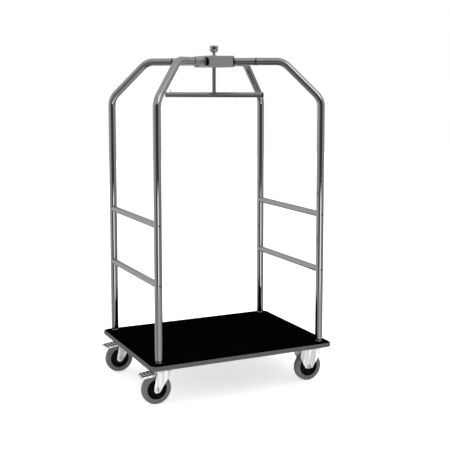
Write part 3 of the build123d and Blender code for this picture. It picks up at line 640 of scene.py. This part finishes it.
class CART_OT_wheels(bpy.types.Operator):
    """Mould the four tyres on their rims, with a bearing in each"""
    bl_idname = "cart.wheels"
    bl_label = "Wheels"

    def execute(self, context):
        sizes = context.scene.cart_sizes
        for corner in CORNERS:
            low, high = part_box(f"tyre_{corner}")
            rim_low, rim_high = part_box(f"rim_{corner}")
            bush_low, bush_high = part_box(f"wheel_bush_{corner}")
            centre = (low + high) / 2
            outer, inner, ridge = (high.x - low.x) / 2, 53.5 * MM, 6 * MM
            half_rim, boss_r = 16.5 * MM, 20 * MM
            section = tyre_section(outer - sizes.tyre_line, inner, high.y - low.y,
                                   sizes.tyre_line, ridge)
            body = f"wheel_{corner}"
            add_piece(f"tyre_moulding_{corner}", *turned(section, centre, segments=112), "grey_tyre",
                      body, [f"tyre_{corner}"])
            section = rim_section(inner, half_rim, boss_r, (rim_high.y - rim_low.y) / 2,
                                  (bush_high.x - bush_low.x) / 2, ridge)
            add_piece(f"rim_moulding_{corner}", *turned(section, centre, segments=96), "black_rim",
                      body, [f"rim_{corner}"])
            finish_nodes(f"wheel_bush_{corner}")
        return {"FINISHED"}


# ---- casters ----
def leg_edges(z, tip_r, left, right, top):
    """Left and right edge of a fork leg at a height above the axle: a round tip, then straight
    sides that run tangent from it to the crown's corners."""
    edges = []
    for corner_x, sign in ((left, 1), (right, -1)):
        far = hypot(corner_x, top)
        touch = atan2(top, corner_x) + sign * acos(tip_r / far)
        tx, tz = tip_r * cos(touch), tip_r * sin(touch)
        if z < tz:
            edges.append(-sign * sqrt(max(0.0, tip_r * tip_r - z * z)))
        elif z < top:
            edges.append(tx + (corner_x - tx) * (z - tz) / (top - tz))
        else:
            edges.append(corner_x)
    return edges


def flute(u, flanks, width):
    """Height, from 0 to 1, of the raised panel between two flanks across a leg."""
    return smooth_step((u - flanks[0]) / width) - smooth_step((u - flanks[1]) / width)


class CART_OT_swivel_casters(bpy.types.Operator):
    """Press the two swivel forks and finish their plates, kingpins, balls and axles"""
    bl_idname = "cart.swivel_casters"
    bl_label = "Swivel casters"

    def execute(self, context):
        sizes = context.scene.cart_sizes
        for corner in SWIVEL_CORNERS:
            add_piece(f"pressed_fork_{corner}", *self.fork(corner, sizes), "zinc_caster",
                      f"swivel_{corner}", [f"fork_{corner}"], edge=sizes.sheet_edge)
            finish_nodes(f"axle_{corner}")
        finish_nodes("swivel_plates", "kingpins", "swivel_balls")
        return {"FINISHED"}

    def fork(self, corner, sizes):
        """One sheet bent over into two legs, with the ball race on its crown."""
        axle = middle(f"tyre_{corner}")
        race_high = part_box(f"fork_{corner}")[1].z
        tip_r, outer, trail, half = 19 * MM, 25 * MM, 40 * MM, 42 * MM
        race_h, crown_drop = 12.5 * MM, 9.5 * MM
        crown = race_high - race_h - axle.z
        bend = sizes.leg_bend
        section = [(outer, -tip_r * cos(radians(a)), 1, 0) for a in range(14, 90, 8)]
        section += [(outer, z, 1, 0) for z in spread(0, crown - bend, 26)]
        section += [(outer - bend + bend * cos(radians(a)), crown - bend + bend * sin(radians(a)),
                     cos(radians(a)), sin(radians(a))) for a in range(15, 91, 15)]
        across = section + [(-y, z, -ny, nz) for y, z, ny, nz in reversed(section)]
        outside, inside = [], []
        for y, z, ny, nz in across:
            left, right = leg_edges(z, tip_r, trail - half, trail + half, crown - crown_drop)
            # The raised panels fade out above the axle and below the bend.
            fade = smooth_step((z - 22 * MM) / (20 * MM)) * smooth_step((crown - z) / (16 * MM))
            for row, depth in ((outside, 0.0), (inside, STEEL)):
                points = []
                for u in spread(0, 1, LEG_COLUMNS):
                    rise = sizes.leg_relief * fade * (flute(u, (0.16, 0.44), 0.07)
                                                      + flute(u, (0.66, 0.86), 0.06))
                    points.append(axle + Vector((left + (right - left) * u,
                                                 y + ny * (rise - depth),
                                                 z + nz * (rise - depth))))
                row.append(points)
        centre = axle + Vector((trail, 0, crown))
        race_r, wall = 26.4 * MM, 8 * MM
        race = [(race_r - wall, -0.5 * MM), (race_r - wall, race_h - 1 * MM),
                (race_r - wall + 1 * MM, race_h), (race_r - 3 * MM, race_h),
                (race_r - 0.5 * MM, race_h - 2 * MM), (race_r, race_h - 4 * MM),
                (race_r, 2 * MM), (race_r + 2 * MM, -0.5 * MM)]
        return joined(pressed_sheet(outside, inside), turned_upright(race, centre, segments=72))


class CART_OT_fixed_casters(bpy.types.Operator):
    """Press the two fixed brackets and finish their axles"""
    bl_idname = "cart.fixed_casters"
    bl_label = "Fixed casters"

    def execute(self, context):
        sizes = context.scene.cart_sizes
        for corner in FIXED_CORNERS:
            add_piece(f"pressed_bracket_{corner}", *self.bracket(corner, sizes), "zinc_caster",
                      "cart", [f"bracket_{corner}"], edge=sizes.sheet_edge)
        finish_nodes("fixed_axles", "caster_bolts")
        return {"FINISHED"}

    def bracket(self, corner, sizes):
        """Top plate with two legs, which drop straight, close in and end beside the wheel."""
        low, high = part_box(f"bracket_{corner}")
        centre = (low + high) / 2
        half_x, half_y = (high.x - low.x) / 2, (high.y - low.y) / 2
        plate, plate_corner = 3.5 * MM, 12 * MM
        outline = [(centre.x + p.x, centre.y + p.y)
                   for p, out in rounded_outline(half_x, half_y, plate_corner)]
        top = high.z - plate
        parts = [prism(outline, top, high.z)]
        flare, tip_y = 47 * MM, 25 * MM
        shin, knee, soft, thigh = 80 * MM, 94 * MM, 8 * MM, 108 * MM
        heights = [low.z, shin, *spread(knee - soft, knee + soft, 9), *spread(thigh, top, 16)]
        waist, hip = (116 * MM, 47 * MM), (147 * MM, 62.5 * MM)

        def reach(z):
            """How far a leg stands out from the bracket's middle."""
            past = z - knee
            if abs(past) < soft:
                past = (past + soft) ** 2 / (4 * soft)
            return tip_y + (flare - tip_y) * max(0.0, past) / (top - knee)

        def half_width(z):
            """Half of a leg's width, which widens from its tip to the waist and the hip."""
            shape = ((low.z, 21 * MM), waist, hip, (high.z, hip[1]))
            for (z0, w0), (z1, w1) in zip(shape, shape[1:]):
                if z <= z1:
                    return w0 + (w1 - w0) * (z - z0) / (z1 - z0)

        for side in (-1, 1):
            outside, inside = [], []
            for z in heights:
                slope = (reach(z + 1 * MM) - reach(z - 1 * MM)) / (2 * MM)
                out = Vector((0, side, -slope)).normalized()
                # The sunk panel fades out above the axle and below the plate.
                fade = smooth_step((z - 84 * MM) / (24 * MM)) * smooth_step((top - z) / (14 * MM))
                for row, depth in ((outside, 0.0), (inside, STEEL)):
                    points = []
                    for u in spread(0, 1, LEG_COLUMNS):
                        rise = -sizes.leg_relief * fade * flute(u, (0.24, 0.52), 0.08)
                        place = Vector((centre.x + half_width(z) * (2 * u - 1),
                                        centre.y + side * reach(z), z))
                        points.append(place + (rise - depth) * out)
                    row.append(points)
            parts.append(pressed_sheet(outside, inside))
        return joined(*parts)


class CART_OT_brakes(bpy.types.Operator):
    """Finish the two brake levers and mould the toothed grips on them"""
    bl_idname = "cart.brakes"
    bl_label = "Brake pedals"

    def execute(self, context):
        sizes = context.scene.cart_sizes
        for corner in SWIVEL_CORNERS:
            finish_nodes(f"brake_lever_{corner}")
            body = f"pedal_{corner}"
            low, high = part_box(f"pedal_pad_{corner}")
            pad, grip_corner, grip_edge = 4 * MM, 5 * MM, 0.8 * MM
            slope = 13 * MM / (108 * MM)  # the pedal rises by 13 mm over its length of 108 mm
            plate = high.z - pad - slope * high.x
            tread = plate + pad - sizes.tooth
            centre, half = (low + high) / 2, (high - low) / 2
            outline = [(centre.x + p.x, centre.y + p.y)
                       for p, out in rounded_outline(half.x, half.y, grip_corner, steps=5)]
            add_piece(f"pedal_grip_{corner}", *prism(outline, plate, tread, slope),
                      "pedal_plastic", body, [f"pedal_pad_{corner}"], edge=grip_edge)
            # The teeth are real ribs, and their pale zinc colour on the dark grip is also a painted
            # highlight: it stands in for the light that the ribs catch.
            count, toe, heel, side, root = 3, 5 * MM, 3 * MM, 6 * MM, 0.5 * MM
            pitch = (high.x - low.x - toe - heel) / count
            teeth = [prism(self.chevron(low.x + toe + i * pitch, centre.y, half.y - side),
                           tread - root, plate + pad, slope) for i in range(count)]
            add_piece(f"pedal_teeth_{corner}", *joined(*teeth), "zinc_lever", body,
                      edge=sizes.sheet_edge)
        return {"FINISHED"}

    def chevron(self, x, y, half):
        """Outline of one V-shaped tooth that points to the toe."""
        width, sweep = 6 * MM, 8 * MM
        return [(x, y), (x + sweep, y - half), (x + sweep + width, y - half), (x + width, y),
                (x + sweep + width, y + half), (x + sweep, y + half)]


# ---- studio ----
CAMERA_PLACE = (-2.1016, -4.6069, 1.6590)
CAMERA_YAW = 0.4400
CAMERA_PITCH = 0.1062
CAMERA_ROLL = 0.0009
CAMERA_LENS = 72.81
CAMERA_SHIFT = -0.1

# What the mirror surfaces see round the studio, as (degrees from the direction that leads to the
# camera, anticlockwise seen from above, level): the ceiling with a lamp, the room with its dark
# doorway, a low window, the ground further off and the floor nearby.
SKY = (
    (-180, 0.50), (-70, 0.50), (-20, 0.42), (14, 0.50), (24, 1.35), (62, 1.35), (74, 0.50),
    (180, 0.50),
)
ROOM = (
    (-180, 0.42), (-150, 0.50), (-110, 0.56), (-80, 0.48), (-60, 0.44), (-42, 0.26), (-20, 0.07),
    (-10, 0.05), (42, 0.05), (48, 0.38), (64, 0.40), (104, 0.38), (132, 0.34), (140, 0.08),
    (152, 0.08), (156, 1.1), (166, 1.1), (170, 0.4), (180, 0.42),
)
WINDOW = (
    (-180, 0.42), (-150, 0.50), (-120, 0.58), (-80, 0.50), (-60, 0.40), (-42, 0.24), (-26, 0.05),
    (0, 0.05), (5, 1.5), (30, 1.5), (35, 0.14), (48, 0.18), (56, 0.36), (86, 0.26), (132, 0.26),
    (140, 0.08), (152, 0.08), (156, 1.1), (166, 1.1), (170, 0.4), (180, 0.42),
)
GROUND = (
    (-180, 0.46), (-130, 0.52), (-94, 0.50), (-50, 0.22), (-18, 0.36), (12, 0.62), (42, 0.52),
    (77, 0.36), (123, 0.30), (180, 0.46),
)
UNDERFOOT = (
    (-180, 0.42), (-110, 0.36), (-50, 0.16), (20, 0.20), (32, 0.10), (38, 1.3), (54, 1.3),
    (60, 0.12), (120, 0.30), (180, 0.42),
)
# Each band over the one below it, with the heights (the upward part of a direction of length 1)
# where it starts to show and where only it shows.
BANDS = ((GROUND, -0.42, -0.30), (WINDOW, -0.235, -0.215), (ROOM, -0.125, -0.11),
         (SKY, 0.28, 0.42))
OVERHEAD, OVERHEAD_LOW, OVERHEAD_HIGH = 0.52, 0.8, 0.9    # its level, and the same heights
BRIGHTEST = 1.6      # the level that white stands for in a band
FLOOR_LIFT = 0.59    # light added to the floor, which keeps its shadow pale


class CART_OT_stage(bpy.types.Operator):
    """Set up the pale floor, the soft lights, the studio's surroundings and the camera"""
    bl_idname = "cart.stage"
    bl_label = "Studio"

    def execute(self, context):
        scene = context.scene
        self.surroundings(scene)
        self.lay_floor(scene)
        self.hang_light("key_overhead", place=(0.1, 0.0, 4.2), target=(0.0, 0.0, 0.0),
                        size=scene.cart_sizes.key_size, power=60)
        self.hang_light("fill_left", place=(-4.6, -0.6, 1.4), target=(0.0, 0.0, 0.6),
                        size=2.2, power=30)
        data = bpy.data.cameras.new("camera")
        data.lens, data.shift_y, data.clip_start = CAMERA_LENS, CAMERA_SHIFT, 0.05
        camera = bpy.data.objects.new("camera", data)
        scene.collection.objects.link(camera)
        camera.location = CAMERA_PLACE
        camera.rotation_euler = (pi / 2 - CAMERA_PITCH, CAMERA_ROLL, -CAMERA_YAW)
        scene.camera = camera
        scene.view_settings.view_transform = "Standard"
        return {"FINISHED"}

    def surroundings(self, scene):
        """Plain white studio whose mirror image has dark and bright bands, which is what gives
        chrome its contrast."""
        world = bpy.data.worlds.new("studio")
        scene.world = world
        world.use_nodes = True
        tree = world.node_tree
        tree.nodes.clear()
        place = add_node(tree, "ShaderNodeTexCoord").outputs["Generated"]
        parts = add_node(tree, "ShaderNodeSeparateXYZ", {"Vector": place}).outputs
        angle = add_node(tree, "ShaderNodeMath", {0: parts["Y"], 1: parts["X"]},
                         operation="ARCTAN2").outputs[0]
        turn = add_node(tree, "ShaderNodeMath", {0: angle, 1: 2 * pi}, operation="DIVIDE")
        # Shares of a turn, with the direction that leads to the camera at the half turn.
        facing = atan2(CAMERA_PLACE[1], CAMERA_PLACE[0]) / (2 * pi)
        wrapped = add_node(tree, "ShaderNodeMath", {0: turn.outputs[0], 1: 1.5 - facing},
                           operation="ADD")
        share = add_node(tree, "ShaderNodeMath", {0: wrapped.outputs[0]}, operation="FRACT")
        seen = self.band(tree, share.outputs[0], UNDERFOOT)
        for levels, low, high in BANDS:
            above = add_node(tree, "ShaderNodeMapRange", {"Value": parts["Z"], "From Min": low,
                                                          "From Max": high})
            seen = add_node(tree, "ShaderNodeMix", {
                "Factor": above.outputs["Result"], "A": seen,
                "B": self.band(tree, share.outputs[0], levels)}, data_type="RGBA",
            ).outputs["Result"]
        above = add_node(tree, "ShaderNodeMapRange", {"Value": parts["Z"],
                                                      "From Min": OVERHEAD_LOW,
                                                      "From Max": OVERHEAD_HIGH})
        level = OVERHEAD / BRIGHTEST
        seen = add_node(tree, "ShaderNodeMix", {"Factor": above.outputs["Result"], "A": seen,
                                                "B": (level, level, level, 1)},
                        data_type="RGBA").outputs["Result"]
        mirrored = add_node(tree, "ShaderNodeBackground", {"Color": seen,
                                                           "Strength": BRIGHTEST})
        white = add_node(tree, "ShaderNodeBackground", {"Color": (1, 1, 1, 1), "Strength": 1.0})
        glossy = add_node(tree, "ShaderNodeLightPath").outputs["Is Glossy Ray"]
        mixed = add_node(tree, "ShaderNodeMixShader", {"Fac": glossy, 1: white.outputs[0],
                                                       2: mirrored.outputs[0]})
        add_node(tree, "ShaderNodeOutputWorld", {"Surface": mixed.outputs[0]})

    def band(self, tree, share, levels):
        """Brightness by direction round the studio, as a share of the brightest."""
        made = add_node(tree, "ShaderNodeValToRGB", {"Fac": share})
        stops = made.color_ramp.elements
        while len(stops) > 1:
            stops.remove(stops[-1])
        for i, (angle, level) in enumerate(levels):
            place = (angle + 180) / 360
            stop = stops[0] if i == 0 else stops.new(place)
            stop.position = place
            stop.color = (level / BRIGHTEST, level / BRIGHTEST, level / BRIGHTEST, 1)
        return made.outputs["Color"]

    def lay_floor(self, scene):
        """Large plain white floor with a soft shadow, left out of the mirror surfaces."""
        half, count = 14.0, 9
        points, faces = sheet_grid([[(x, y, 0.0) for x in spread(-half, half, count)]
                                    for y in spread(-half, half, count)])
        mesh = bpy.data.meshes.new("floor")
        mesh.from_pydata(points, [], faces)
        floor = bpy.data.objects.new("floor", mesh)
        scene.collection.objects.link(floor)
        material = bpy.data.materials.new("painted_floor")
        material.use_nodes = True
        tree = material.node_tree
        tree.nodes.clear()
        base = scene.cart_colours.floor
        paint = add_node(tree, "ShaderNodeBsdfDiffuse", {"Color": base})
        lift = add_node(tree, "ShaderNodeEmission", {"Color": base, "Strength": FLOOR_LIFT})
        lit = add_node(tree, "ShaderNodeAddShader", {0: paint.outputs[0], 1: lift.outputs[0]})
        add_node(tree, "ShaderNodeOutputMaterial", {"Surface": lit.outputs[0]})
        mesh.materials.append(material)
        floor.visible_glossy = False

    def hang_light(self, name, place, target, size, power):
        """Square soft light that the mirror surfaces don't show."""
        data = bpy.data.lights.new(name, "AREA")
        data.size, data.energy = size, power
        light = bpy.data.objects.new(name, data)
        bpy.context.scene.collection.objects.link(light)
        light.location = place
        aim = Vector(target) - Vector(place)
        light.rotation_euler = aim.to_track_quat("-Z", "Y").to_euler()
        light.visible_glossy = False
        light.visible_camera = False


class CART_PT_panel(bpy.types.Panel):
    """Colours, sizes and pieces of the luggage cart"""
    bl_idname = "CART_PT_panel"
    bl_label = "Luggage cart"
    bl_space_type = "VIEW_3D"
    bl_region_type = "UI"
    bl_category = "Luggage cart"

    def draw(self, context):
        for group in (context.scene.cart_sizes, context.scene.cart_colours):
            for name in group.bl_rna.properties.keys():
                if name not in ("rna_type", "name"):
                    self.layout.prop(group, name)
        for operator in OPERATORS:
            self.layout.operator(operator.bl_idname)


OPERATORS = (CART_OT_deck, CART_OT_posts, CART_OT_hub, CART_OT_hanger, CART_OT_wheels,
             CART_OT_swivel_casters, CART_OT_fixed_casters, CART_OT_brakes, CART_OT_stage)
CLASSES = (CartColours, CartSizes, *OPERATORS, CART_PT_panel)


def register():
    for made in CLASSES:
        bpy.utils.register_class(made)
    bpy.types.Scene.cart_colours = bpy.props.PointerProperty(type=CartColours)
    bpy.types.Scene.cart_sizes = bpy.props.PointerProperty(type=CartSizes)


def unregister():
    del bpy.types.Scene.cart_sizes
    del bpy.types.Scene.cart_colours
    for made in reversed(CLASSES):
        bpy.utils.unregister_class(made)


def main():
    """Make every piece in order."""
    register()
    bpy.ops.cart.deck()
    bpy.ops.cart.posts()
    bpy.ops.cart.hub()
    bpy.ops.cart.hanger()
    bpy.ops.cart.wheels()
    bpy.ops.cart.swivel_casters()
    bpy.ops.cart.fixed_casters()
    bpy.ops.cart.brakes()
    bpy.ops.cart.stage()


if __name__ == "__main__":
    main()
